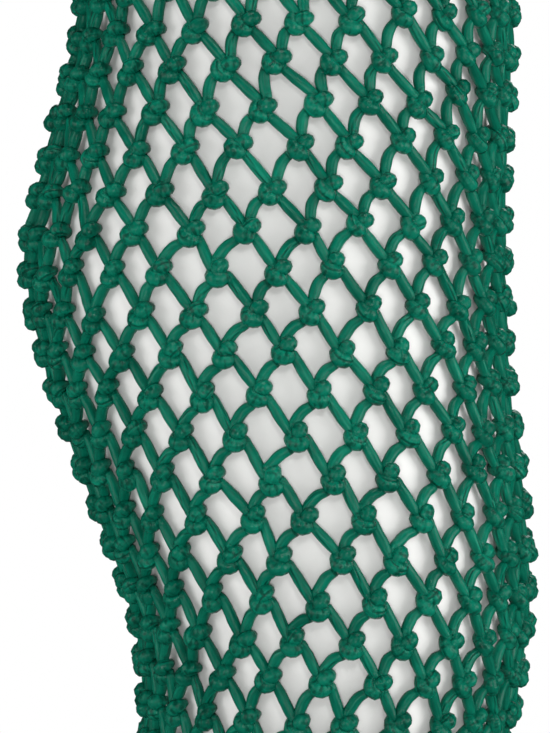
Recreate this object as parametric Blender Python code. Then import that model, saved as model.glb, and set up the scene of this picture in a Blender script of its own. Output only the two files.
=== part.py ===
"""Knotted leather net skirt on a countertop hip form.

The net is made row by row. Each row is one closed cord: at every column it is knotted round
a loop of the row above, and between two knots it hangs a loop for the row below. The first
row is knotted to a waist cord. The form is a hollow body in two half shells, held together by
a base board, two seam strips and a waist cap, and it stands on a sheet of felt.

Metres, +Z up. The form stands on z = 0 and its belly faces +X, so its right side faces -Y.
"""
import math

import bmesh
import bpy
import numpy as np
from mathutils import Vector

# Hip form: height, centre in X, half width in X, half depth in Y
FORM_PROFILE = np.array([
    (0.003, 0.029, 0.093, 0.131),
    (0.120, 0.032, 0.102, 0.141),
    (0.190, 0.034, 0.111, 0.152),
    (0.260, 0.021, 0.122, 0.160),
    (0.335, 0.003, 0.131, 0.156),
    (0.410, -0.006, 0.137, 0.149),
    (0.480, 0.002, 0.130, 0.141),
    (0.540, 0.011, 0.124, 0.135),
    (0.650, 0.014, 0.119, 0.130),
])
BOX_SHIFT = -0.001561     # brings the middle of the object's box to X = 0
SECTION_POWER = 2.2       # 2 is an ellipse, more is squarer
WALL = 0.003              # thickness of the half shells
GAP = 0.0003              # between pieces that touch
SHELL_COLUMNS = 16        # facets round one half shell
SHELL_ROWS = 20

FELT_THICKNESS = 0.003
BOARD_BOTTOM = FELT_THICKNESS + GAP
BOARD_TOP = BOARD_BOTTOM + 0.018
SHELL_TOP = 0.650
CAP_THICKNESS = 0.004
CAP_DEPTH = 0.010         # how far the cap's plug reaches into the shells
CAP_CROWN = 0.003         # how far the cap's middle stands above its edge

STRIP_WIDTH = 0.022
STRIP_THICKNESS = 0.002
STRIP_BED = 0.0016        # bonding paste between a shell and a strip
STRIP_CLEARANCE = 0.003   # from the strip's ends to the board and the cap's plug

SCREW_FRACTIONS = (-0.1875, 0.0, 0.1875, 0.3125, 0.5, 0.6875)
SCREW_HEIGHT = BOARD_BOTTOM + 0.009
SCREW_HEAD_RADIUS = 0.004
SCREW_HEAD_HEIGHT = 0.0022
SCREW_RADIUS = 0.00175
SCREW_LENGTH = 0.018
SCREW_SIDES = 12
HOLE_RADIUS = SCREW_RADIUS + GAP

# Net
COLUMNS = 28              # knots in one row
ROWS = 22
ROW_PITCH = 0.02402       # from one row of knots to the next
TOP_KNOTS = 0.5972        # height of the first row of knots
FIRST_TILT = 0.0768       # how far the first row rises per metre towards +X
TILT_STEP = -0.00573      # what each row adds to that
# How far the knots are turned round the form, in columns, at some of the rows
DRIFT_ROWS = (0, 3, 5, 7, 9, 12, 15, 18, 22)
DRIFT = (-1.30, -0.70, -0.14, 0.167, 0.25, 0.115, -0.113, -0.189, -0.10)
CORD_RADIUS = 0.0032
KNOT_RADIUS = 0.0060
KNOT_DROP = 0.003         # a knot's middle sits this far under its row's height
CORD_OUT = 0.0040         # from the form's skin to the middle of a cord
KNOT_OUT = 0.0071         # from the form's skin to the middle of a knot
KNOT_REACH = 0.0085       # from a knot's middle to where the cord is plain again
CORD_GAP = 0.0005
LOOP_RISE = KNOT_RADIUS + CORD_RADIUS + CORD_GAP - KNOT_DROP

# Looks: colour, roughness, metallic
GREEN_LEATHER = ((0.004, 0.119, 0.076), 0.42, 0.0)
FORM_SKIN = ((0.58, 0.58, 0.57), 0.45, 0.0)
PLYWOOD = ((0.50, 0.36, 0.21), 0.60, 0.0)
GREY_FELT = ((0.12, 0.12, 0.12), 0.95, 0.0)
GLASS_TAPE = ((0.62, 0.62, 0.56), 0.55, 0.0)
STEEL = ((0.60, 0.60, 0.61), 0.30, 1.0)


def clear_scene():
    for item in list(bpy.data.objects):
        bpy.data.objects.remove(item, do_unlink=True)


def new_material(name, look):
    colour, roughness, metallic = look
    material = bpy.data.materials.new(name)
    material.use_nodes = True
    shader = material.node_tree.nodes["Principled BSDF"]
    shader.inputs["Base Color"].default_value = (*colour, 1.0)
    shader.inputs["Roughness"].default_value = roughness
    shader.inputs["Metallic"].default_value = metallic
    return material


def add_object(name, data, look):
    item = bpy.data.objects.new(name, data)
    data.materials.append(new_material(name, look))
    bpy.context.collection.objects.link(item)
    return item


def form_section(height):
    """Centre in X, half width and half depth at one height, along smooth curves."""
    heights = FORM_PROFILE[:, 0]
    values = FORM_PROFILE[:, 1:]
    slopes = np.gradient(values, heights, axis=0)
    low = int(np.clip(np.searchsorted(heights, height) - 1, 0, len(heights) - 2))
    span = heights[low + 1] - heights[low]
    f = (height - heights[low]) / span
    start = (1 + 2 * f) * (1 - f) ** 2 * values[low]
    end = f * f * (3 - 2 * f) * values[low + 1]
    lean_in = f * (1 - f) ** 2 * span * slopes[low]
    lean_out = f * f * (f - 1) * span * slopes[low + 1]
    centre, half_width, half_depth = start + end + lean_in + lean_out
    return centre + BOX_SHIFT, half_width, half_depth


def signed_power(values, power):
    return np.sign(values) * np.abs(values) ** power


def around_form(height, fractions, outward):
    """Points and outward directions round the form, evenly spaced along its girth.

    A fraction of 0 faces -Y and a quarter faces +X. The points lie outward from the skin.
    """
    centre, half_width, half_depth = form_section(height)
    turn = np.linspace(0.0, 2 * math.pi, 721)
    x = half_width * signed_power(np.sin(turn), 2 / SECTION_POWER)
    y = -half_depth * signed_power(np.cos(turn), 2 / SECTION_POWER)
    length = np.concatenate(([0.0], np.cumsum(np.hypot(np.diff(x), np.diff(y)))))
    angle = np.interp(np.mod(fractions, 1.0) * length[-1], length, turn)
    grade = 2 - 2 / SECTION_POWER
    normal_x = signed_power(np.sin(angle), grade) / half_width
    normal_y = -signed_power(np.cos(angle), grade) / half_depth
    size = np.hypot(normal_x, normal_y)
    normal_x = normal_x / size
    normal_y = normal_y / size
    x = half_width * signed_power(np.sin(angle), 2 / SECTION_POWER) + outward * normal_x
    y = -half_depth * signed_power(np.cos(angle), 2 / SECTION_POWER) + outward * normal_y
    points = [Vector((centre + px, py, height)) for px, py in zip(x, y)]
    normals = [Vector((nx, ny, 0.0)) for nx, ny in zip(normal_x, normal_y)]
    return points, normals


def girth(height):
    points, _ = around_form(height, np.linspace(0.0, 1.0, 73), 0.0)
    return sum((b - a).length for a, b in zip(points, points[1:]))


def finish_mesh(bm, name, look, smooth_under=math.radians(40)):
    bmesh.ops.recalc_face_normals(bm, faces=bm.faces)
    mesh = bpy.data.meshes.new(name)
    bm.to_mesh(mesh)
    bm.free()
    mesh.shade_smooth()
    mesh.set_sharp_from_angle(angle=smooth_under)
    return add_object(name, mesh, look)


def stack(name, rings, look):
    """A closed body through rings of points, with a flat face on the first and the last."""
    bm = bmesh.new()
    loops = [[bm.verts.new(point) for point in ring] for ring in rings]
    for lower, upper in zip(loops, loops[1:]):
        count = len(lower)
        for i in range(count):
            j = (i + 1) % count
            bm.faces.new((lower[i], lower[j], upper[j], upper[i]))
    bm.faces.new(loops[0])
    bm.faces.new(loops[-1])
    return finish_mesh(bm, name, look)


def curved_slab(name, fractions, heights, outer, inner, look):
    """A closed piece of wall that follows the form between two distances from its skin."""
    bm = bmesh.new()
    outside = []
    inside = []
    for height in heights:
        outer_points, _ = around_form(height, fractions, outer)
        inner_points, _ = around_form(height, fractions, inner)
        outside.append([bm.verts.new(point) for point in outer_points])
        inside.append([bm.verts.new(point) for point in inner_points])
    last_row = len(heights) - 1
    last_column = len(fractions) - 1
    for grid in (outside, inside):
        for i in range(last_row):
            for j in range(last_column):
                bm.faces.new((grid[i][j], grid[i][j + 1], grid[i + 1][j + 1], grid[i + 1][j]))
    for i in (0, last_row):
        for j in range(last_column):
            bm.faces.new((outside[i][j], outside[i][j + 1], inside[i][j + 1], inside[i][j]))
    for j in (0, last_column):
        for i in range(last_row):
            bm.faces.new((outside[i][j], outside[i + 1][j], inside[i + 1][j], inside[i][j]))
    return finish_mesh(bm, name, look)


def half_shell(name, middle):
    """One side of the hollow form, centred on a fraction of the girth."""
    half_gap = GAP / 2 / girth(0.3)
    fractions = middle + np.linspace(half_gap - 0.25, 0.25 - half_gap, SHELL_COLUMNS + 1)
    heights = np.linspace(BOARD_BOTTOM, SHELL_TOP, SHELL_ROWS + 1)
    return curved_slab(name, fractions, heights, 0.0, -WALL, FORM_SKIN)


def seam_strip(name, middle):
    """The bonded tape inside a seam between the two half shells."""
    half_width = STRIP_WIDTH / 2 / girth(0.3)
    fractions = middle + np.linspace(-half_width, half_width, 3)
    bottom = BOARD_TOP + STRIP_CLEARANCE
    top = SHELL_TOP - CAP_DEPTH - STRIP_CLEARANCE
    outer = -WALL - STRIP_BED
    heights = np.linspace(bottom, top, SHELL_ROWS)
    return curved_slab(name, fractions, heights, outer, outer - STRIP_THICKNESS, GLASS_TAPE)


def outline(height, outward, at=None):
    """A ring of points round the form at one height, laid at another height if asked."""
    fractions = np.arange(2 * SHELL_COLUMNS) / (2 * SHELL_COLUMNS)
    points, _ = around_form(height, fractions, outward)
    if at is not None:
        for point in points:
            point.z = at
    return points


def base_felt():
    edge = -0.001
    rings = [outline(BOARD_BOTTOM, edge, at=0.0), outline(BOARD_BOTTOM, edge, at=FELT_THICKNESS)]
    return stack("base_felt", rings, GREY_FELT)


def base_board():
    inside = -WALL - GAP
    rings = [outline(BOARD_BOTTOM, inside), outline(BOARD_TOP, inside)]
    return stack("base_board", rings, PLYWOOD)


def waist_cap():
    """A lid on top of the shells, with a plug that holds them together at the waist."""
    inside = -WALL - GAP
    plug_bottom = SHELL_TOP - CAP_DEPTH
    under = SHELL_TOP + GAP
    edge_top = under + CAP_THICKNESS
    rings = [
        outline(plug_bottom, inside),
        outline(SHELL_TOP, inside, at=under),
        outline(SHELL_TOP, 0.0, at=under),
        outline(SHELL_TOP, 0.0, at=edge_top - 0.001),
        outline(SHELL_TOP, -0.001, at=edge_top),
        outline(SHELL_TOP, -0.030, at=edge_top + 0.6 * CAP_CROWN),
        outline(SHELL_TOP, -0.070, at=edge_top + CAP_CROWN),
    ]
    return stack("waist_cap", rings, FORM_SKIN)


def turned_rings(start, axis, profile, sides):
    """Rings round an axis for a profile of (distance along the axis, radius)."""
    across = axis.cross(Vector((0.0, 0.0, 1.0))).normalized()
    up = across.cross(axis).normalized()
    rings = []
    for along, radius in profile:
        middle = start + axis * along
        ring = []
        for i in range(sides):
            turn = 2 * math.pi * i / sides
            ring.append(middle + radius * (math.cos(turn) * across + math.sin(turn) * up))
        rings.append(ring)
    return rings


def rim_screw(number, fraction, drilled):
    """A pan-head wood screw through a shell's rim into the edge of the base board."""
    points, normals = around_form(SCREW_HEIGHT, np.array([fraction]), 0.0)
    skin = points[0]
    inward = -normals[0]
    profile = (
        (-GAP - SCREW_HEAD_HEIGHT, 0.6 * SCREW_HEAD_RADIUS),
        (-GAP - 0.4 * SCREW_HEAD_HEIGHT, SCREW_HEAD_RADIUS),
        (-GAP, SCREW_HEAD_RADIUS),
        (-GAP, SCREW_RADIUS),
        (SCREW_LENGTH - 0.004, SCREW_RADIUS),
        (SCREW_LENGTH, 0.2 * SCREW_RADIUS),
    )
    rings = turned_rings(skin, inward, profile, SCREW_SIDES)
    screw = stack(f"rim_screw_{number}", rings, STEEL)
    hole = ((-0.005, HOLE_RADIUS), (SCREW_LENGTH + 0.001, HOLE_RADIUS))
    cutter = stack(f"rim_hole_{number}", turned_rings(skin, inward, hole, SCREW_SIDES), STEEL)
    cutter.hide_render = True
    cutter.display_type = "WIRE"
    for item in drilled:
        cut = item.modifiers.new(f"rim_hole_{number}", "BOOLEAN")
        cut.operation = "DIFFERENCE"
        cut.solver = "EXACT"
        cut.object = cutter
    return screw


def closed_cord(name, points, radii):
    """A cord that runs through its points and back to the first, with four flat sides."""
    curve = bpy.data.curves.new(name, "CURVE")
    curve.dimensions = "3D"
    curve.twist_mode = "Z_UP"
    curve.bevel_depth = 1.0
    curve.bevel_resolution = 0
    curve.resolution_u = 1
    curve.render_resolution_u = 0
    curve.use_fill_caps = True
    spline = curve.splines.new("POLY")
    spline.points.add(len(points) - 1)
    for spot, point, radius in zip(spline.points, points, radii):
        spot.co = (*point, 1.0)
        spot.radius = radius
    spline.use_cyclic_u = True
    return add_object(name, curve, GREEN_LEATHER)


def row_columns(index):
    """Where a row's knots sit, as fractions of the way round the form."""
    shift = 0.5 * (index % 2) + np.interp(index, DRIFT_ROWS, DRIFT)
    return (np.arange(COLUMNS) + shift) / COLUMNS


def along_row(index, fractions, rise, outward):
    """Points round the form above a row's level, which is tilted."""
    level = TOP_KNOTS - index * ROW_PITCH + rise
    tilt = FIRST_TILT + TILT_STEP * index
    flat, _ = around_form(level, fractions, outward)
    points = []
    for fraction, point in zip(fractions, flat):
        height = level + tilt * (point.x - BOX_SHIFT)
        points.extend(around_form(height, np.array([fraction]), outward)[0])
    return points


def net_row(index):
    """One row of the net: a knot at every column and a hanging loop after each knot."""
    below = row_columns(index + 1) + (index % 2) / COLUMNS
    knots = along_row(index, row_columns(index), -KNOT_DROP, KNOT_OUT)
    loops = along_row(index + 1, below, LOOP_RISE, CORD_OUT)
    points = []
    for column, knot in enumerate(knots):
        into = (loops[column - 1] - knot).normalized() * KNOT_REACH
        away = (loops[column] - knot).normalized() * KNOT_REACH
        points.extend((knot + into, knot, knot + away, loops[column]))
    radii = [CORD_RADIUS, KNOT_RADIUS, CORD_RADIUS, CORD_RADIUS] * COLUMNS
    return closed_cord(f"net_row_{index + 1:02d}", points, radii)


def waist_cord():
    fractions = np.arange(2 * COLUMNS) / (2 * COLUMNS)
    points = along_row(0, fractions, LOOP_RISE, CORD_OUT)
    return closed_cord("waist_cord", points, [CORD_RADIUS] * len(points))


def build_form():
    right = half_shell("right_shell", 0.0)
    left = half_shell("left_shell", 0.5)
    seam_strip("front_seam_strip", 0.25)
    seam_strip("back_seam_strip", 0.75)
    board = base_board()
    base_felt()
    waist_cap()
    for number, fraction in enumerate(SCREW_FRACTIONS, start=1):
        shell = right if abs(fraction) < 0.25 else left
        rim_screw(number, fraction, (shell, board))


def build_net():
    waist_cord()
    for index in range(ROWS):
        net_row(index)


def main():
    clear_scene()
    build_form()
    build_net()


main()
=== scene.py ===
"""A knotted leather net on a display hip form.

The net is wound here in full: every knot is a real turn of its row's cord round the loop of
the row above. Metres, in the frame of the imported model.
"""
import math

import bpy
import numpy as np
from bpy.props import (FloatProperty, FloatVectorProperty, IntProperty, PointerProperty)
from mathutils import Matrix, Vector


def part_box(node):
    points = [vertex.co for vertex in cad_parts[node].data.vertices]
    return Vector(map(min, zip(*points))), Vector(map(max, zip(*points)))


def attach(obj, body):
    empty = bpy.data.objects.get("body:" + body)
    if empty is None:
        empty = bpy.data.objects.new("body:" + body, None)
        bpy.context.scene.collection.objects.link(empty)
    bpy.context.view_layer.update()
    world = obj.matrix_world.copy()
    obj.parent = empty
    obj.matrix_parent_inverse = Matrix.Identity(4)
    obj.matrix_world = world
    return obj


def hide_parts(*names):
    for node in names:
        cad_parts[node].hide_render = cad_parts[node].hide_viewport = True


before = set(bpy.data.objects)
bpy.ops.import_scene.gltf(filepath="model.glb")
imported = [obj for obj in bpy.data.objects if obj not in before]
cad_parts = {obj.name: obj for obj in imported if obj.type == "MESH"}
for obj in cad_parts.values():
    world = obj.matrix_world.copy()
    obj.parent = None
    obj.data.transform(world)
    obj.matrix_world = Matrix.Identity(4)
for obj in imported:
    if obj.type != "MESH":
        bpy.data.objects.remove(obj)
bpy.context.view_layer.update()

bl_info = {
    "name": "Knotted Net on a Hip Form",
    "version": (1, 0, 0),
    "blender": (4, 5, 0),
    "location": "3D View > Sidebar > Knotted Net",
    "description": "Winds a knotted leather net round a display hip form",
    "category": "Add Mesh",
}

# Hip form: height, centre in X, half width in X, half depth in Y
FORM_PROFILE = np.array([
    (0.003, 0.029, 0.093, 0.131),
    (0.120, 0.032, 0.102, 0.141),
    (0.190, 0.034, 0.111, 0.152),
    (0.260, 0.021, 0.122, 0.160),
    (0.335, 0.003, 0.131, 0.156),
    (0.410, -0.006, 0.137, 0.149),
    (0.480, 0.002, 0.130, 0.141),
    (0.540, 0.011, 0.124, 0.135),
    (0.650, 0.014, 0.119, 0.130),
])
BOX_SHIFT = -0.001561     # brings the middle of the object's box to X = 0
SECTION_POWER = 2.2       # 2 is an ellipse, more is squarer
OUTLINE_POINTS = 721      # on the outline that the girth is measured along
WALL = 0.003              # thickness of the half shells
GAP = 0.0003              # between pieces that touch
GIRTH = 0.9               # of the form, near enough to turn a gap into a part of the way round
SHARP_EDGE = 40           # degrees above which an edge is left sharp

# Waist cap and base felt
CAP_EDGE = 0.003          # the cap's middle stands this far above its edge
CAP_CHAMFER = 0.0012
CAP_INSETS = (0.01, 0.02, 0.035, 0.05, 0.07, 0.09, 0.105)
CAP_DOME = 0.1            # the crown is full this far in from the edge
FELT_INSET = 0.0010
FELT_CHAMFER = 0.0005

# Net
COLUMNS = 28
ROWS = 22
ROW_PITCH = 0.02402       # from one row of knots to the next
TOP_KNOTS = 0.5972        # height of the first row of knots
FIRST_TILT = 0.0768       # how far the first row rises per metre towards +X
TILT_STEP = -0.00573      # what each row adds to that
# How far the knots are turned round the form, in columns, at some of the rows
DRIFT_ROWS = (0, 3, 5, 7, 9, 12, 15, 18, 22)
DRIFT = (-1.30, -0.70, -0.14, 0.167, 0.25, 0.115, -0.113, -0.189, -0.10)

# Within the first distance of a knot's middle, in cord diameters, the cord turns with the knot
# and is puckered by it, with painted shade in the pucker valleys. That fades out over the second.
TURNED_WITHIN = (1.1, 0.4)
PUCKERED_WITHIN = (1.2, 0.5)

# The way of a row's cord through one knot, in cord diameters: to the right along the row, up,
# and out from the form, then the cord's thickness there. It comes in from the lower left,
# crosses both legs of the loop above in front, goes round behind them, comes down the left
# side over its own start, turns under the knot and leaves at the lower right.
KNOT_WAY = np.array([
    (-1.00, -1.00, 0.00, 1.00),
    (-0.52, -0.50, 0.22, 1.06),
    (-0.10, 0.04, 0.50, 1.32),
    (0.26, 0.34, 0.58, 1.66),
    (0.58, 0.54, 0.26, 1.52),
    (0.66, 0.60, -0.26, 1.06),
    (0.26, 0.56, -0.54, 0.92),
    (-0.38, 0.42, -0.48, 0.96),
    (-0.74, 0.20, -0.06, 1.20),
    (-0.76, -0.18, 0.34, 1.46),
    (-0.56, -0.56, 0.54, 1.70),
    (-0.10, -0.76, 0.54, 1.68),
    (0.28, -0.64, 0.16, 1.30),
    (0.34, -0.34, -0.20, 0.90),
    (0.46, -0.24, -0.18, 0.90),
    (0.66, -0.52, -0.08, 0.96),
])
# The way of the loop above through the knot: down on the left, round, and up on the right
LOOP_WAY = np.array([
    (-0.52, 0.60, 0.10, 0.90),
    (-0.24, 0.10, 0.04, 0.82),
    (0.00, -0.20, 0.00, 0.80),
    (0.12, 0.10, 0.00, 0.84),
    (0.02, 0.62, 0.06, 0.94),
    (0.06, 1.04, 0.02, 1.04),
])
# A free loop at the hem, measured from where the next knot would be
HEM_WAY = np.array([
    (-0.60, 0.85, -0.30, 0.96),
    (0.00, 0.45, -0.40, 0.98),
    (0.60, 0.85, -0.30, 1.00),
])
# Where the waist cord is highest, halfway between two knots of the first row
WAIST_RISE = np.array([(0.0, 2.15, -0.35, 1.0)])
# The two legs between knots, along the line from one knot to the next: the part of the way,
# then to the right, up and out in cord diameters, and the cord's thickness. The leg down to
# the right is pulled straight; the leg up from the loop to the next knot has a slack bow.
TIGHT_LEG = np.array([
    (0.15, 0.00, 0.00, -0.06, 1.05),
    (0.85, 0.00, 0.00, -0.04, 1.05),
])
SLACK_LEG = np.array([
    (0.30, -0.16, 0.10, -0.06, 1.18),
    (0.66, -0.22, 0.16, -0.08, 1.18),
])


def signed_power(values, power):
    """A power of the size of each value that keeps the value's sign."""
    return np.sign(values) * np.abs(values) ** power


def form_section(height):
    """Centre in X, half width and half depth of the form at one height."""
    heights = FORM_PROFILE[:, 0]
    values = FORM_PROFILE[:, 1:]
    slopes = np.gradient(values, heights, axis=0)
    low = int(np.clip(np.searchsorted(heights, height) - 1, 0, len(heights) - 2))
    span = heights[low + 1] - heights[low]
    f = (height - heights[low]) / span
    start = (1 + 2 * f) * (1 - f) ** 2 * values[low]
    end = f * f * (3 - 2 * f) * values[low + 1]
    lean_in = f * (1 - f) ** 2 * span * slopes[low]
    lean_out = f * f * (f - 1) * span * slopes[low + 1]
    centre, half_width, half_depth = start + end + lean_in + lean_out
    return centre + BOX_SHIFT, half_width, half_depth


def around_form(height, fractions, outward):
    """Points and outward directions round the form, evenly spaced along its girth."""
    centre, half_width, half_depth = form_section(height)
    turn = np.linspace(0.0, 2 * math.pi, OUTLINE_POINTS)
    x = half_width * signed_power(np.sin(turn), 2 / SECTION_POWER)
    y = -half_depth * signed_power(np.cos(turn), 2 / SECTION_POWER)
    length = np.concatenate(([0.0], np.cumsum(np.hypot(np.diff(x), np.diff(y)))))
    angle = np.interp(np.mod(fractions, 1.0) * length[-1], length, turn)
    grade = 2 - 2 / SECTION_POWER
    normal_x = signed_power(np.sin(angle), grade) / half_width
    normal_y = -signed_power(np.cos(angle), grade) / half_depth
    size = np.hypot(normal_x, normal_y)
    normal = np.stack([normal_x / size, normal_y / size, np.zeros_like(size)], axis=1)
    skin_x = centre + half_width * signed_power(np.sin(angle), 2 / SECTION_POWER)
    skin_y = -half_depth * signed_power(np.cos(angle), 2 / SECTION_POWER)
    skin = np.stack([skin_x, skin_y, np.full_like(skin_x, height)], axis=1)
    return skin + outward * normal, normal


def row_columns(index):
    """Where a row's knots sit, as fractions of the way round the form."""
    shift = 0.5 * (index % 2) + np.interp(index, DRIFT_ROWS, DRIFT)
    return (np.arange(COLUMNS) + shift) / COLUMNS


def along_row(index, fractions, rise, outward):
    """Points and outward directions above a row's level, which is tilted."""
    level = TOP_KNOTS - index * ROW_PITCH + rise
    tilt = FIRST_TILT + TILT_STEP * index
    flat, _ = around_form(level, fractions, outward)
    points = []
    normals = []
    for fraction, spot in zip(fractions, flat):
        height = level + tilt * (spot[0] - BOX_SHIFT)
        point, normal = around_form(height, np.array([fraction]), outward)
        points.append(point[0])
        normals.append(normal[0])
    return np.array(points), np.array(normals)


class Knots:
    """Where every knot of the net sits and how it is turned."""

    def __init__(self, settings):
        rng = np.random.default_rng(settings.seed)
        count = (ROWS + 1, COLUMNS)
        self.size = settings.cord_diameter
        self.where = np.zeros((*count, 3))
        self.axes = np.zeros((*count, 3, 3))
        self.turn = np.zeros((*count, 3, 3))
        self.scale = rng.uniform(1 - settings.knot_variation, 1 + settings.knot_variation, count)
        shift_along = rng.normal(0.0, settings.lay_variation, count)
        shift_up = rng.normal(0.0, settings.lay_variation, count)
        angles = rng.normal(0.0, 1.0, (*count, 3)) * np.radians(settings.knot_turn)
        for level in range(ROWS + 1):
            columns = row_columns(level)
            points, normals = along_row(level, columns, 0.0, settings.knot_height)
            above, _ = along_row(level, columns, 0.5 * ROW_PITCH, settings.knot_height)
            below, _ = along_row(level, columns, -0.5 * ROW_PITCH, settings.knot_height)
            up = above - below
            up /= np.linalg.norm(up, axis=1, keepdims=True)
            right = np.cross(up, normals)
            right /= np.linalg.norm(right, axis=1, keepdims=True)
            out = np.cross(right, up)
            self.where[level] = (points + right * shift_along[level][:, None]
                                 + up * shift_up[level][:, None])
            axes = np.stack([right, up, out], axis=2)
            self.axes[level] = axes
            for column in range(COLUMNS):
                self.turn[level, column] = axes[column] @ turned(*angles[level, column])

    def place(self, level, column, way):
        """A way through a knot in the model's frame, with the cord's thickness and pull."""
        column %= COLUMNS
        local = way[:, :3] * self.size
        reach = np.linalg.norm(way[:, :3], axis=1)
        inner = within(reach, TURNED_WITHIN)[:, None]
        grown = local * self.scale[level, column]
        leaning = grown @ self.turn[level, column].T
        straight = local @ self.axes[level, column].T
        points = self.where[level, column] + inner * leaning + (1 - inner) * straight
        pull = within(reach, PUCKERED_WITHIN)
        return np.column_stack([points, way[:, 3] * self.size / 2, pull])

    def leg(self, start, end, axes, way):
        """Points between two places, moved off the line by the way's own offsets."""
        points = start + (end - start) * way[:, :1] + way[:, 1:4] * self.size @ axes.T
        return np.column_stack([points, way[:, 4] * self.size / 2, np.zeros(len(way))])


def within(reach, limits):
    """1 inside the first limit, fading to 0 over the second."""
    inside, fade = limits
    return np.clip((inside + fade - reach) / fade, 0.0, 1.0)


def turned(pitch, yaw, roll):
    """A small turn about the right, up and outward directions."""
    cx, sx = math.cos(pitch), math.sin(pitch)
    cy, sy = math.cos(yaw), math.sin(yaw)
    cz, sz = math.cos(roll), math.sin(roll)
    about_x = np.array([(1, 0, 0), (0, cx, -sx), (0, sx, cx)])
    about_y = np.array([(cy, 0, sy), (0, 1, 0), (-sy, 0, cy)])
    about_z = np.array([(cz, -sz, 0), (sz, cz, 0), (0, 0, 1)])
    return about_z @ about_y @ about_x


def row_way(knots, row):
    """The control points of one row's closed cord, from knot to loop to knot."""
    half = row % 2
    loop = LOOP_WAY if row < ROWS - 1 else HEM_WAY
    parts = []
    for column in range(COLUMNS):
        knot = knots.place(row, column, KNOT_WAY)
        below = knots.place(row + 1, column + half, loop)
        ahead = knots.place(row, column + 1, KNOT_WAY[:1])
        axes = knots.axes[row + 1, (column + half) % COLUMNS]
        parts.append(knot)
        parts.append(knots.leg(knot[-1, :3], below[0, :3], axes, TIGHT_LEG))
        parts.append(below)
        parts.append(knots.leg(below[-1, :3], ahead[0, :3], axes, SLACK_LEG))
    return np.concatenate(parts)


def waist_way(knots):
    """The waist cord passes through every knot of the first row as a shallow loop."""
    parts = []
    for column in range(COLUMNS):
        parts.append(knots.place(0, column, LOOP_WAY))
        ahead = knots.place(0, column, WAIST_RISE)
        after = knots.place(0, column + 1, WAIST_RISE)
        parts.append((ahead + after) / 2)
    return np.concatenate(parts)


def smooth_closed(control, step):
    """Samples of a smooth closed curve through control points, about a step apart."""
    ahead = np.roll(control, -1, axis=0)
    span = np.linalg.norm((ahead - control)[:, :3], axis=1)
    before = np.roll(span, 1)
    rate = (ahead - control) / span[:, None]
    rate_before = np.roll(rate, 1, axis=0)
    total = span + before
    slope = (rate * before[:, None] + rate_before * span[:, None]) / total[:, None]
    slope_ahead = np.roll(slope, -1, axis=0)
    counts = np.maximum(1, np.round(span / step).astype(int))
    piece = np.repeat(np.arange(len(control)), counts)
    starts = np.concatenate(([0], np.cumsum(counts)[:-1]))
    f = ((np.arange(len(piece)) - starts[piece]) / counts[piece])[:, None]
    width = span[piece][:, None]
    return ((1 + 2 * f) * (1 - f) ** 2 * control[piece] + f * f * (3 - 2 * f) * ahead[piece]
            + f * (1 - f) ** 2 * width * slope[piece]
            + f * f * (f - 1) * width * slope_ahead[piece])


# ---------------------------------------------------------------- node helpers

class Sock:
    """A shader socket that can be used in Python expressions."""

    def __init__(self, nodes, socket):
        self.nodes = nodes
        self.socket = socket

    def _math(self, operation, *values):
        return self.nodes.make("ShaderNodeMath", {"operation": operation},
                               {i: value for i, value in enumerate(values)})

    def __add__(self, other):
        return self._math("ADD", self, other)

    def __radd__(self, other):
        return self._math("ADD", other, self)

    def __sub__(self, other):
        return self._math("SUBTRACT", self, other)

    def __rsub__(self, other):
        return self._math("SUBTRACT", other, self)

    def __mul__(self, other):
        return self._math("MULTIPLY", self, other)

    def __rmul__(self, other):
        return self._math("MULTIPLY", other, self)

    def __truediv__(self, other):
        return self._math("DIVIDE", self, other)

    def clamp(self, low, high):
        """0 below low, 1 above high, and straight between them."""
        return self.nodes.make("ShaderNodeMapRange", {"clamp": True},
                               {"Value": self, "From Min": low, "From Max": high})


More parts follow.
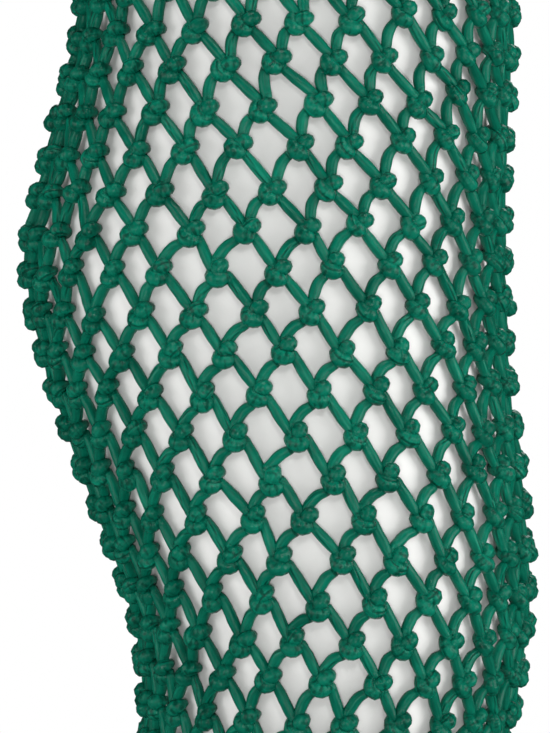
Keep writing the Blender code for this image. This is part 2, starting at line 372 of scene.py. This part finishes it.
class Shader:
    """A material's node tree, with one method that makes any node."""

    def __init__(self, name):
        self.material = bpy.data.materials.new(name)
        self.material.use_nodes = True
        self.tree = self.material.node_tree
        self.surface = self.tree.nodes["Principled BSDF"]

    def make(self, kind, settings=None, values=None, output=0):
        """A node of one type: its settings first, then its sockets' values or links."""
        node = self.tree.nodes.new(kind)
        for name, value in (settings or {}).items():
            setattr(node, name, value)
        for name, value in (values or {}).items():
            self.put(node.inputs[name], value)
        return Sock(self, node.outputs[output])

    def put(self, socket, value):
        """Links a socket, or sets it; a colour of three numbers is made opaque."""
        if isinstance(value, Sock):
            self.tree.links.new(value.socket, socket)
        elif hasattr(socket.default_value, "__len__") and len(value) == 3 \
                and len(socket.default_value) == 4:
            socket.default_value = (*value, 1.0)
        else:
            socket.default_value = value

    def set(self, **values):
        """Sets the surface shader's own sockets; an underscore stands for a space."""
        for name, value in values.items():
            self.put(self.surface.inputs[name.replace("_", " ")], value)

    def place(self):
        """Where a point is on the object, in metres."""
        return self.make("ShaderNodeTexCoord", output="Object")

    def attribute(self, name):
        return self.make("ShaderNodeAttribute", {"attribute_name": name}, output="Vector")

    def wave(self, value, shape="SINE"):
        """The sine or cosine of a value."""
        return self.make("ShaderNodeMath", {"operation": shape}, {0: value})

    def scaled(self, vector, scale):
        """A vector stretched along each axis."""
        return self.make("ShaderNodeVectorMath", {"operation": "MULTIPLY"},
                         {0: vector, 1: scale})

    def parts(self, vector):
        """A vector's three parts."""
        node = self.make("ShaderNodeSeparateXYZ", None, {0: vector}).socket.node
        return [Sock(self, output) for output in node.outputs]

    def noise(self, vector, scale, detail=2.0, roughness=0.5):
        return self.make("ShaderNodeTexNoise", None,
                         {"Vector": vector, "Scale": scale, "Detail": detail,
                          "Roughness": roughness}, output="Fac")

    def blend(self, amount, first, second):
        """Colours or links mixed by an amount."""
        node = self.tree.nodes.new("ShaderNodeMix")
        node.data_type = "RGBA"
        for socket, value in ((node.inputs[0], amount), (node.inputs[6], first),
                              (node.inputs[7], second)):
            self.put(socket, value)
        return Sock(self, node.outputs[2])

    def bump(self, height, distance, before=None):
        """Relief of a depth in metres, on top of any relief before it."""
        values = {"Height": height, "Distance": distance}
        if before is not None:
            values["Normal"] = before
        return self.make("ShaderNodeBump", None, values)


# ---------------------------------------------------------------- materials

def green_leather(settings):
    """Dyed cord leather: fine grain, a rolled seam with a painted highlight on its lip, and
    puckers where a knot squeezes it, with painted shade in their valleys.
    """
    shader = Shader("dyed_leather")
    cord = shader.attribute("cord_space")
    # The knot's squeeze, which drives the puckers and the painted shade in their valleys.
    pull = shader.make("ShaderNodeAttribute", {"attribute_name": "pull"}, output="Fac")
    x, y, along = shader.parts(cord)
    place = shader.place()
    base = settings.leather_colour
    deep = [0.45 * c for c in base]
    # A lighter tone of the leather, used for random lighter patches and for the painted highlight
    # on the seam's lip.
    light = [1.5 * c for c in base]

    patches = shader.noise(place, 38.0, 3.0).clamp(0.30, 0.72)
    streaks = shader.noise(shader.scaled(cord, (1.0, 1.0, 0.12)), 900.0, 2.0).clamp(0.35, 0.70)
    seam_turn = along * 55.0 + shader.noise(place, 12.0, 1.0) * 4.0
    facing = x * shader.wave(seam_turn, "COSINE") + y * shader.wave(seam_turn)
    toward_seam = facing / (0.5 * settings.cord_diameter)
    seam = toward_seam.clamp(0.93, 0.985)
    # The band just beside the seam, painted lighter as a painted highlight on the seam's lip.
    seam_lip_highlight = toward_seam.clamp(0.80, 0.92) - seam
    colour = shader.blend(patches * 0.55 + streaks * 0.25, deep, base)
    # Random lighter patches, plus the painted highlight on the seam's lip.
    colour = shader.blend(patches * streaks * 0.35 + seam_lip_highlight * 0.25, colour, light)
    colour = shader.blend(seam * 0.75, colour, [0.25 * c for c in base])

    grain = shader.noise(cord, 2600.0, 3.0, 0.6)
    pucker = shader.noise(shader.scaled(cord, (0.35, 0.35, 1.0)), 800.0, 2.0)
    # Painted shade: the pucker valleys near a knot are darkened in colour to stand in for shade
    # in the crevices.
    painted_pucker_shade = (1.0 - pucker.clamp(0.34, 0.50)) * pull
    colour = shader.blend(painted_pucker_shade * 0.8, colour, [0.22 * c for c in base])
    relief = shader.bump(grain, 0.00006)
    relief = shader.bump(pucker * (pull * 0.8 + 0.2), 0.0010, before=relief)
    relief = shader.bump(streaks, 0.00010, before=relief)
    relief = shader.bump(1.0 - seam, 0.00035, before=relief)
    rough = patches * 0.10 + grain * 0.10 + 0.16
    shader.set(Base_Color=colour, Roughness=rough, Normal=relief, Specular_IOR_Level=0.11)
    return shader.material


def form_skin(settings):
    """Smooth sprayed shell, with a faint orange peel, soft waves and long faint streaks."""
    shader = Shader("sprayed_skin")
    place = shader.place()
    base = settings.skin_colour
    shade = [0.93 * c for c in base]
    clouds = shader.noise(place, 7.0, 3.0).clamp(0.3, 0.7)
    streaks = shader.noise(shader.scaled(place, (1.0, 1.0, 0.08)), 60.0, 2.0).clamp(0.35, 0.65)
    colour = shader.blend(clouds * 0.5 + streaks * 0.3, shade, base)
    peel = shader.noise(place, 420.0, 2.0)
    wave = shader.noise(shader.scaled(place, (1.0, 1.0, 0.2)), 25.0, 1.0)
    relief = shader.bump(peel, 0.00005)
    relief = shader.bump(wave, 0.0003, before=relief)
    shader.set(Base_Color=colour, Roughness=0.55 + 0.10 * clouds, Normal=relief,
               Specular_IOR_Level=0.15)
    return shader.material


def grey_felt():
    """Pressed wool felt: short tangled fibres."""
    shader = Shader("wool_felt")
    place = shader.place()
    fibres = shader.noise(place, 900.0, 4.0, 0.7)
    tufts = shader.noise(place, 160.0, 3.0).clamp(0.3, 0.7)
    colour = shader.blend(fibres * 0.6 + tufts * 0.4, (0.055, 0.055, 0.058), (0.20, 0.20, 0.20))
    shader.set(Base_Color=colour, Roughness=0.95, Normal=shader.bump(fibres, 0.0006),
               Sheen_Weight=0.4)
    return shader.material


def plywood():
    """Birch plywood: ring grain on the face and plies round the edge."""
    shader = Shader("birch_ply")
    place = shader.place()
    _, y, z = shader.parts(place)
    wander = shader.noise(shader.scaled(place, (0.3, 2.0, 1.0)), 14.0, 3.0)
    rings = shader.wave(wander * 70.0 + y * 300.0)
    plies = shader.wave(z * 3500.0)
    tone = (rings * 0.25 + plies * 0.25 + 0.5).clamp(0.0, 1.0)
    colour = shader.blend(tone, (0.42, 0.28, 0.15), (0.62, 0.47, 0.29))
    shader.set(Base_Color=colour, Roughness=0.55 + 0.15 * tone,
               Normal=shader.bump(tone, 0.0001))
    return shader.material


def seam_tape():
    """Open glass weave set in resin."""
    shader = Shader("glass_tape")
    _, y, z = shader.parts(shader.place())
    warp = shader.wave(z * 2500.0)
    weft = shader.wave(y * 2500.0)
    weave = (warp * weft * 0.5 + 0.5).clamp(0.0, 1.0)
    colour = shader.blend(weave, (0.45, 0.45, 0.38), (0.68, 0.68, 0.60))
    shader.set(Base_Color=colour, Roughness=0.35 + 0.3 * weave,
               Normal=shader.bump(weave, 0.0003))
    return shader.material


def screw_steel():
    """Bright zinc: turning marks and a little tarnish."""
    shader = Shader("bright_zinc")
    place = shader.place()
    marks = shader.noise(place, 1500.0, 2.0)
    tarnish = shader.noise(place, 250.0, 3.0).clamp(0.4, 0.75)
    colour = shader.blend(tarnish, (0.66, 0.67, 0.68), (0.42, 0.41, 0.38))
    shader.set(Base_Color=colour, Metallic=1.0, Roughness=0.40 + 0.2 * tarnish,
               Normal=shader.bump(marks, 0.00005))
    return shader.material


# ---------------------------------------------------------------- geometry nodes

class Tree:
    """A geometry node tree with named inputs."""

    def __init__(self, name, inputs):
        self.group = bpy.data.node_groups.new(name, "GeometryNodeTree")
        face = self.group.interface
        self.names = {}
        for label, kind, value in (("Geometry", "NodeSocketGeometry", None), *inputs):
            item = face.new_socket(label, in_out="INPUT", socket_type=kind)
            if value is not None:
                item.default_value = value
            self.names[label] = item.identifier
        face.new_socket("Geometry", in_out="OUTPUT", socket_type="NodeSocketGeometry")
        self.start = self.group.nodes.new("NodeGroupInput")
        self.end = self.group.nodes.new("NodeGroupOutput")

    def input(self, label):
        """One of the tree's own inputs."""
        return self.start.outputs[label]

    def make(self, kind, settings=None, values=None):
        """A node of one type: its settings first, then its sockets' values or links."""
        node = self.group.nodes.new(kind)
        for name, value in (settings or {}).items():
            setattr(node, name, value)
        for name, value in (values or {}).items():
            if isinstance(value, bpy.types.NodeSocket):
                self.group.links.new(value, node.inputs[name])
            else:
                node.inputs[name].default_value = value
        return node

    def finish(self, geometry, material):
        """Ends the tree with the result as real, painted geometry."""
        joined = self.make("GeometryNodeRealizeInstances", None, {"Geometry": geometry})
        painted = self.make("GeometryNodeSetMaterial", None,
                            {"Geometry": joined.outputs[0], "Material": material})
        self.group.links.new(painted.outputs[0], self.end.inputs[0])

    def apply(self, item, name, values):
        """Runs the tree on an object and returns a new object with the plain mesh."""
        modifier = item.modifiers.new(self.group.name, "NODES")
        modifier.node_group = self.group
        for label, value in values.items():
            modifier[self.names[label]] = value
        graph = bpy.context.evaluated_depsgraph_get()
        mesh = bpy.data.meshes.new_from_object(item.evaluated_get(graph))
        mesh.name = name
        item.modifiers.remove(modifier)
        piece = bpy.data.objects.new(name, mesh)
        bpy.context.scene.collection.objects.link(piece)
        bpy.data.objects.remove(item)
        return piece


def cord_tree():
    """Sweeps a round cord along a path, and stores where each point is on the straight cord."""
    tree = Tree("Cord along a path", (
        ("Sides", "NodeSocketInt", 10),
        ("Unevenness", "NodeSocketFloat", 0.0),
        ("Uneven Scale", "NodeSocketFloat", 200.0),
        ("Seed", "NodeSocketFloat", 0.0),
        ("Cord Radius", "NodeSocketFloat", 0.003),
        ("Material", "NodeSocketMaterial", None),
    ))
    path = tree.make("GeometryNodeMeshToCurve", None, {"Mesh": tree.input("Geometry")})
    radius = tree.make("GeometryNodeInputNamedAttribute", {"data_type": "FLOAT"},
                       {"Name": "cord_radius"})
    travel = tree.make("GeometryNodeSplineParameter")
    marked = tree.make("GeometryNodeStoreNamedAttribute",
                       {"data_type": "FLOAT", "domain": "POINT"},
                       {"Geometry": path.outputs[0], "Name": "along",
                        "Value": travel.outputs["Length"]})
    circle = tree.make("GeometryNodeCurvePrimitiveCircle", None,
                       {"Resolution": tree.input("Sides"), "Radius": 1.0})
    spot = tree.make("GeometryNodeInputPosition")
    rim = tree.make("GeometryNodeStoreNamedAttribute",
                    {"data_type": "FLOAT_VECTOR", "domain": "POINT"},
                    {"Geometry": circle.outputs[0], "Name": "rim", "Value": spot.outputs[0]})
    swept = tree.make("GeometryNodeCurveToMesh", None,
                      {"Curve": marked.outputs[0], "Profile Curve": rim.outputs[0],
                       "Scale": radius.outputs["Attribute"]})
    around = tree.make("GeometryNodeInputNamedAttribute", {"data_type": "FLOAT_VECTOR"},
                       {"Name": "rim"})
    along = tree.make("GeometryNodeInputNamedAttribute", {"data_type": "FLOAT"},
                      {"Name": "along"})
    wide = tree.make("ShaderNodeVectorMath", {"operation": "SCALE"},
                     {0: around.outputs["Attribute"], "Scale": tree.input("Cord Radius")})
    axes = tree.make("ShaderNodeSeparateXYZ", None, {0: wide.outputs[0]})
    space = tree.make("ShaderNodeCombineXYZ", None,
                      {0: axes.outputs[0], 1: axes.outputs[1], 2: along.outputs["Attribute"]})
    laid = tree.make("GeometryNodeStoreNamedAttribute",
                     {"data_type": "FLOAT_VECTOR", "domain": "POINT"},
                     {"Geometry": swept.outputs[0], "Name": "cord_space",
                      "Value": space.outputs[0]})
    lumps = tree.make("ShaderNodeTexNoise", {"noise_dimensions": "4D"},
                      {"Vector": spot.outputs[0],
                       "W": tree.input("Seed"), "Scale": tree.input("Uneven Scale"),
                       "Detail": 1.0})
    centred = tree.make("ShaderNodeMath", {"operation": "SUBTRACT"},
                        {0: lumps.outputs[0], 1: 0.5})
    depth = tree.make("ShaderNodeMath", {"operation": "MULTIPLY"},
                      {0: centred.outputs[0], 1: tree.input("Unevenness")})
    normal = tree.make("GeometryNodeInputNormal")
    push = tree.make("ShaderNodeVectorMath", {"operation": "SCALE"},
                     {0: normal.outputs[0], "Scale": depth.outputs[0]})
    pushed = tree.make("GeometryNodeSetPosition", None,
                       {"Geometry": laid.outputs[0], "Offset": push.outputs[0]})
    smooth = tree.make("GeometryNodeSetShadeSmooth", None, {"Geometry": pushed.outputs[0]})
    tree.finish(smooth.outputs[0], tree.input("Material"))
    return tree


# ---------------------------------------------------------------- settings

class NetSettings(bpy.types.PropertyGroup):
    cord_diameter: FloatProperty(
        name="Cord diameter", description="Thickness of the leather cord", default=0.0060,
        min=0.001, unit="LENGTH")
    cord_sides: IntProperty(
        name="Cord sides", description="Facets round the cord", default=10, min=6)
    path_step: FloatProperty(
        name="Path step", description="Distance between rings along the cord",
        default=0.0015, min=0.0005, unit="LENGTH")
    knot_height: FloatProperty(
        name="Knot height", description="From the form's skin to the middle of a knot",
        default=0.0062, unit="LENGTH")
    knot_variation: FloatProperty(
        name="Knot variation", description="How much knots differ in size", default=0.07)
    knot_turn: FloatProperty(
        name="Knot turn", description="Typical turn of a knot, in degrees", default=7.0)
    lay_variation: FloatProperty(
        name="Lay variation", description="How far knots stray from even rows",
        default=0.0010, unit="LENGTH")
    unevenness: FloatProperty(
        name="Unevenness", description="Depth of the lumps in the cord", default=0.0008,
        unit="LENGTH")
    uneven_scale: FloatProperty(
        name="Uneven scale", description="How close together the lumps are", default=160.0)
    seed: IntProperty(name="Seed", description="Picks one set of variations", default=7)
    leather_colour: FloatVectorProperty(
        name="Leather", description="Colour of the dyed leather", subtype="COLOR",
        default=(0.0005, 0.138, 0.083), min=0.0, max=1.0)


class FormSettings(bpy.types.PropertyGroup):
    shell_columns: IntProperty(
        name="Shell columns", description="Facets round one half shell", default=64, min=8)
    shell_rows: IntProperty(
        name="Shell rows", description="Facets up a half shell", default=72, min=8)
    skin_colour: FloatVectorProperty(
        name="Skin", description="Colour of the form", subtype="COLOR",
        default=(0.72, 0.715, 0.70), min=0.0, max=1.0)


class StageSettings(bpy.types.PropertyGroup):
    camera_distance: FloatProperty(
        name="Camera distance", description="From the camera to the form's middle",
        default=3.5, unit="LENGTH")
    frame_height: FloatProperty(
        name="Frame height", description="Height of the view at the form's middle",
        default=0.447, unit="LENGTH")
    aim_height: FloatProperty(
        name="Aim height", description="Height the camera looks at", default=0.3434,
        unit="LENGTH")
    camera_tilt: FloatProperty(
        name="Camera tilt", description="Degrees that the camera looks down", default=2.07)
    key_power: FloatProperty(
        name="Key light", description="Power of the main light", default=17.0, unit="POWER")
    fill_power: FloatProperty(
        name="Fill lights", description="Power that each fill light has a share of", default=16.0,
        unit="POWER")
    surround: FloatProperty(
        name="Surround", description="Brightness of the room", default=0.24)
    mirrored_room: FloatProperty(
        name="Mirrored room", description="Brightness of the room in reflections",
        default=0.05)


# ---------------------------------------------------------------- building blocks

def mesh_piece(name, vertices, faces, material):
    """An object made of given points and faces, smooth but for its sharp edges."""
    mesh = bpy.data.meshes.new(name)
    mesh.from_pydata([tuple(v) for v in vertices], [], faces)
    mesh.validate()
    mesh.shade_smooth()
    mesh.set_sharp_from_angle(angle=math.radians(SHARP_EDGE))
    mesh.materials.append(material)
    piece = bpy.data.objects.new(name, mesh)
    bpy.context.scene.collection.objects.link(piece)
    return piece


def curved_slab(name, fractions, heights, outer, inner, material):
    """A closed piece of wall that follows the form between two distances from its skin."""
    vertices = []
    for outward in (outer, inner):
        for height in heights:
            points, _ = around_form(height, fractions, outward)
            vertices.extend(points)
    rows, columns = len(heights), len(fractions)

    def at(side, i, j):
        return side * rows * columns + i * columns + j

    faces = []
    for i in range(rows - 1):
        for j in range(columns - 1):
            faces.append((at(0, i, j), at(0, i, j + 1), at(0, i + 1, j + 1), at(0, i + 1, j)))
            faces.append((at(1, i, j), at(1, i + 1, j), at(1, i + 1, j + 1), at(1, i, j + 1)))
    for j in range(columns - 1):
        top = rows - 1
        faces.append((at(0, 0, j), at(1, 0, j), at(1, 0, j + 1), at(0, 0, j + 1)))
        faces.append((at(0, top, j), at(0, top, j + 1), at(1, top, j + 1), at(1, top, j)))
    for i in range(rows - 1):
        end = columns - 1
        faces.append((at(0, i, 0), at(0, i + 1, 0), at(1, i + 1, 0), at(1, i, 0)))
        faces.append((at(0, i, end), at(1, i, end), at(1, i + 1, end), at(0, i + 1, end)))
    return mesh_piece(name, vertices, faces, material)


def stack(name, rings, material):
    """A closed body through rings of points, with a flat face on the first and the last."""
    count = len(rings[0])
    vertices = np.concatenate(rings)
    faces = [tuple(reversed(range(count)))]
    for k in range(len(rings) - 1):
        for i in range(count):
            j = (i + 1) % count
            faces.append((k * count + i, k * count + j, (k + 1) * count + j,
                          (k + 1) * count + i))
    last = (len(rings) - 1) * count
    faces.append(tuple(range(last, last + count)))
    return mesh_piece(name, vertices, faces, material)


def outline(height, outward, at, columns=160):
    """A ring of points round the form at one height, laid at another height."""
    points, _ = around_form(height, np.arange(columns) / columns, outward)
    points[:, 2] = at
    return points


def material_named(name, maker, settings):
    """The material of that name, made the first time it is asked for."""
    return bpy.data.materials.get(name) or maker(settings)


TREES = []     # the cord tree, once it is built


def cord_piece(name, samples, settings, seed):
    """One closed cord, swept by the cord tree and turned to a plain mesh."""
    count = len(samples)
    mesh = bpy.data.meshes.new(name + "_path")
    edges = [(i, (i + 1) % count) for i in range(count)]
    mesh.from_pydata([tuple(p) for p in samples[:, :3]], edges, [])
    radius = mesh.attributes.new("cord_radius", "FLOAT", "POINT")
    radius.data.foreach_set("value", samples[:, 3].astype(np.float32))
    # The knot's squeeze, which drives the puckers and the painted shade in their valleys.
    pull = mesh.attributes.new("pull", "FLOAT", "POINT")
    pull.data.foreach_set("value", np.clip(samples[:, 4], 0.0, 1.0).astype(np.float32))
    path = bpy.data.objects.new(name + "_path", mesh)
    bpy.context.scene.collection.objects.link(path)
    if not TREES:
        TREES.append(cord_tree())
    return TREES[0].apply(path, name, {
        "Sides": settings.cord_sides,
        "Unevenness": settings.unevenness,
        "Uneven Scale": settings.uneven_scale,
        "Seed": float(seed),
        "Cord Radius": settings.cord_diameter / 2,
        "Material": material_named("dyed_leather", green_leather, settings),
    })


def settle(piece, slot, *nodes):
    """The piece rides on the root body and stands for its CAD nodes."""
    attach(piece, "root")
    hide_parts(*nodes)


# ---------------------------------------------------------------- operators

class NET_OT_rows(bpy.types.Operator):
    """Wind every row of the net, knot by knot"""
    bl_idname = "knotted_net.rows"
    bl_label = "Net rows"

    def execute(self, context):
        settings = context.scene.knotted_net
        knots = Knots(settings)
        for row in range(ROWS):
            name = f"net_row_{row + 1:02d}"
            samples = smooth_closed(row_way(knots, row), settings.path_step)
            piece = cord_piece(name + "_cord", samples, settings, row)
            settle(piece, "green_leather", name)
        return {"FINISHED"}


class NET_OT_waist_cord(bpy.types.Operator):
    """Lay the cord that the first row of knots is tied round"""
    bl_idname = "knotted_net.waist_cord"
    bl_label = "Waist cord"

    def execute(self, context):
        settings = context.scene.knotted_net
        samples = smooth_closed(waist_way(Knots(settings)), settings.path_step)
        piece = cord_piece("waist_cord_leather", samples, settings, ROWS)
        settle(piece, "green_leather", "waist_cord")
        return {"FINISHED"}


class NET_OT_form(bpy.types.Operator):
    """Make the two half shells of the hip form"""
    bl_idname = "knotted_net.form"
    bl_label = "Hip form shells"

    def execute(self, context):
        settings = context.scene.hip_form
        skin = material_named("sprayed_skin", form_skin, settings)
        low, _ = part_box("right_shell")
        _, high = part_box("left_shell")
        half = 0.25 - GAP / 2 / GIRTH
        heights = np.linspace(low[2], high[2], settings.shell_rows + 1)
        for name, middle in (("right_shell", 0.0), ("left_shell", 0.5)):
            fractions = middle + np.linspace(-half, half, settings.shell_columns + 1)
            piece = curved_slab(name + "_skin", fractions, heights, 0.0, -WALL, skin)
            settle(piece, "form_skin", name)
        return {"FINISHED"}


class NET_OT_waist_cap(bpy.types.Operator):
    """Make the lid at the form's waist"""
    bl_idname = "knotted_net.waist_cap"
    bl_label = "Waist cap"

    def execute(self, context):
        settings = context.scene.hip_form
        skin = material_named("sprayed_skin", form_skin, settings)
        low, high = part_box("waist_cap")
        _, shell_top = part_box("right_shell")
        under = shell_top[2] + GAP
        edge = high[2] - CAP_EDGE
        waist = FORM_PROFILE[-1, 0]
        rings = [
            outline(waist, -WALL - GAP, low[2]),
            outline(waist, -WALL - GAP, under),
            outline(waist, 0.0, under),
            outline(waist, 0.0, edge - CAP_CHAMFER),
            outline(waist, -CAP_CHAMFER / 3, edge - CAP_CHAMFER / 3),
            outline(waist, -CAP_CHAMFER, edge),
        ]
        for inset in CAP_INSETS:
            crown = CAP_EDGE * math.sin(math.pi / 2 * min(1.0, inset / CAP_DOME))
            rings.append(outline(waist, -inset, edge + crown))
        piece = stack("waist_cap_lid", rings, skin)
        settle(piece, "form_skin", "waist_cap")
        return {"FINISHED"}


class NET_OT_base(bpy.types.Operator):
    """Make the felt under the form and finish the board, the seam strips and the screws"""
    bl_idname = "knotted_net.base"
    bl_label = "Base"

    def execute(self, context):
        felt = grey_felt()
        low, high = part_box("base_felt")
        foot = FORM_PROFILE[0, 0]
        rings = [
            outline(foot, -FELT_INSET - 0.6 * FELT_CHAMFER, low[2]),
            outline(foot, -FELT_INSET, low[2] + 0.6 * FELT_CHAMFER),
            outline(foot, -FELT_INSET, high[2] - FELT_CHAMFER),
            outline(foot, -FELT_INSET - FELT_CHAMFER, high[2]),
        ]
        settle(stack("base_felt_pad", rings, felt), "grey_felt", "base_felt")
        paint("base_board", plywood())
        tape = seam_tape()
        paint("front_seam_strip", tape)
        paint("back_seam_strip", tape)
        steel = screw_steel()
        for number in range(1, 7):
            paint(f"rim_screw_{number}", steel)
        return {"FINISHED"}


def paint(node, material):
    """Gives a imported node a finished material."""
    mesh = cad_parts[node].data
    mesh.materials.clear()
    mesh.materials.append(material)


# Soft boxes: place and size, and for the fills the share of the fill power
KEY_PLACE = (0.4, -2.8, 1.5)
KEY_SIZE = 0.5
FILLS = (
    ("low_fill", (-0.1, -2.3, 0.2), 0.35, 1.0),
    ("left_fill", (-2.4, -1.2, 0.6), 1.8, 2.3),
    ("right_fill", (2.4, -1.0, 0.6), 1.8, 4.0),
    ("top_light", (0.2, -0.5, 2.6), 1.0, 1.5),
    ("back_light", (0.4, 2.4, 1.8), 1.6, 1.6),
)
LIGHT_AIM = (0.0, 0.0, 0.34)
FLOOR_REACH = 8.0             # half the floor's side
FLOOR_DROP = 0.0005           # keeps the floor just under the felt
FLOOR_FADE = (0.45, 1.15)     # metres from the middle: paper inside, glowing white outside


class NET_OT_stage(bpy.types.Operator):
    """Set the floor, the lights and the camera"""
    bl_idname = "knotted_net.stage"
    bl_label = "Stage"

    def execute(self, context):
        settings = context.scene.net_stage
        scene = context.scene
        scene.view_settings.view_transform = "Standard"
        paper_floor()
        scene.world = studio_world(settings.surround, settings.mirrored_room)
        soft_box("key_light", KEY_PLACE, KEY_SIZE, settings.key_power)
        for name, place, size, share in FILLS:
            soft_box(name, place, size, share * settings.fill_power)
        camera = bpy.data.cameras.new("camera")
        camera.sensor_width = 36.0
        camera.lens = camera.sensor_width * settings.camera_distance / settings.frame_height
        seat = bpy.data.objects.new("camera", camera)
        tilt = math.radians(settings.camera_tilt)
        seat.location = (BOX_SHIFT, -settings.camera_distance * math.cos(tilt),
                         settings.aim_height + settings.camera_distance * math.sin(tilt))
        seat.rotation_euler = (math.pi / 2 - tilt, 0.0, 0.0)
        scene.collection.objects.link(seat)
        scene.camera = seat
        return {"FINISHED"}


def paper_floor():
    """A sheet of white paper that turns into an even white glow away from the object."""
    shader = Shader("floor_paper")
    place = shader.place()
    away = shader.make("ShaderNodeVectorMath", {"operation": "LENGTH"}, {0: place},
                       output="Value").clamp(*FLOOR_FADE)
    tooth = shader.noise(place, 300.0, 2.0)
    colour = shader.blend(tooth, (0.90, 0.90, 0.90), (0.94, 0.94, 0.94))
    shader.set(Base_Color=colour, Roughness=0.9)
    glow = shader.make("ShaderNodeEmission", None, {"Color": (1.0, 1.0, 1.0), "Strength": 1.0})
    mixed = shader.make("ShaderNodeMixShader", None,
                        {0: away, 1: Sock(shader, shader.surface.outputs[0]), 2: glow})
    shader.tree.links.new(mixed.socket, shader.tree.nodes["Material Output"].inputs[0])
    corners = [(x * FLOOR_REACH, y * FLOOR_REACH, -FLOOR_DROP)
               for x, y in ((-1, -1), (1, -1), (1, 1), (-1, 1))]
    floor = mesh_piece("floor", corners, [(0, 1, 2, 3)], shader.material)
    floor.visible_glossy = False
    return floor


def studio_world(surround, mirrored):
    """White behind the object, a soft room light, and a darker room in reflections."""
    world = bpy.data.worlds.new("studio")
    world.use_nodes = True
    nodes = world.node_tree.nodes
    links = world.node_tree.links
    white = (1.0, 1.0, 1.0, 1.0)
    seen = nodes.new("ShaderNodeLightPath")
    shader = nodes["Background"]
    shader.inputs["Color"].default_value = white
    shader.inputs["Strength"].default_value = surround
    for ray, strength in (("Is Glossy Ray", mirrored), ("Is Camera Ray", 1.0)):
        other = nodes.new("ShaderNodeBackground")
        other.inputs["Color"].default_value = white
        other.inputs["Strength"].default_value = strength
        mix = nodes.new("ShaderNodeMixShader")
        links.new(seen.outputs[ray], mix.inputs[0])
        links.new(shader.outputs[0], mix.inputs[1])
        links.new(other.outputs[0], mix.inputs[2])
        shader = mix
    links.new(shader.outputs[0], nodes["World Output"].inputs[0])
    return world


def soft_box(name, place, size, power):
    """A square lamp that faces the middle of the net."""
    light = bpy.data.lights.new(name, "AREA")
    light.size = size
    light.energy = power
    item = bpy.data.objects.new(name, light)
    item.location = place
    aim = Vector(LIGHT_AIM) - Vector(place)
    item.rotation_euler = aim.to_track_quat("-Z", "Y").to_euler()
    bpy.context.scene.collection.objects.link(item)


class NET_PT_panel(bpy.types.Panel):
    """Lists the pieces of the net and its form"""
    bl_label = "Knotted Net"
    bl_idname = "NET_PT_panel"
    bl_space_type = "VIEW_3D"
    bl_region_type = "UI"
    bl_category = "Knotted Net"

    def draw(self, context):
        for operator in OPERATORS:
            self.layout.operator(operator.bl_idname)
        for group in ("knotted_net", "hip_form", "net_stage"):
            box = self.layout.box()
            settings = getattr(context.scene, group)
            for name in settings.__annotations__:
                box.prop(settings, name)


OPERATORS = (NET_OT_stage, NET_OT_rows, NET_OT_waist_cord, NET_OT_form, NET_OT_waist_cap,
             NET_OT_base)
CLASSES = (NetSettings, FormSettings, StageSettings, *OPERATORS, NET_PT_panel)


def register():
    for item in CLASSES:
        bpy.utils.register_class(item)
    bpy.types.Scene.knotted_net = PointerProperty(type=NetSettings)
    bpy.types.Scene.hip_form = PointerProperty(type=FormSettings)
    bpy.types.Scene.net_stage = PointerProperty(type=StageSettings)


def unregister():
    for name in ("knotted_net", "hip_form", "net_stage"):
        delattr(bpy.types.Scene, name)
    for item in reversed(CLASSES):
        bpy.utils.unregister_class(item)


def main():
    register()
    bpy.ops.knotted_net.stage()
    bpy.ops.knotted_net.rows()
    bpy.ops.knotted_net.waist_cord()
    bpy.ops.knotted_net.form()
    bpy.ops.knotted_net.waist_cap()
    bpy.ops.knotted_net.base()


if __name__ == "__main__":
    main()
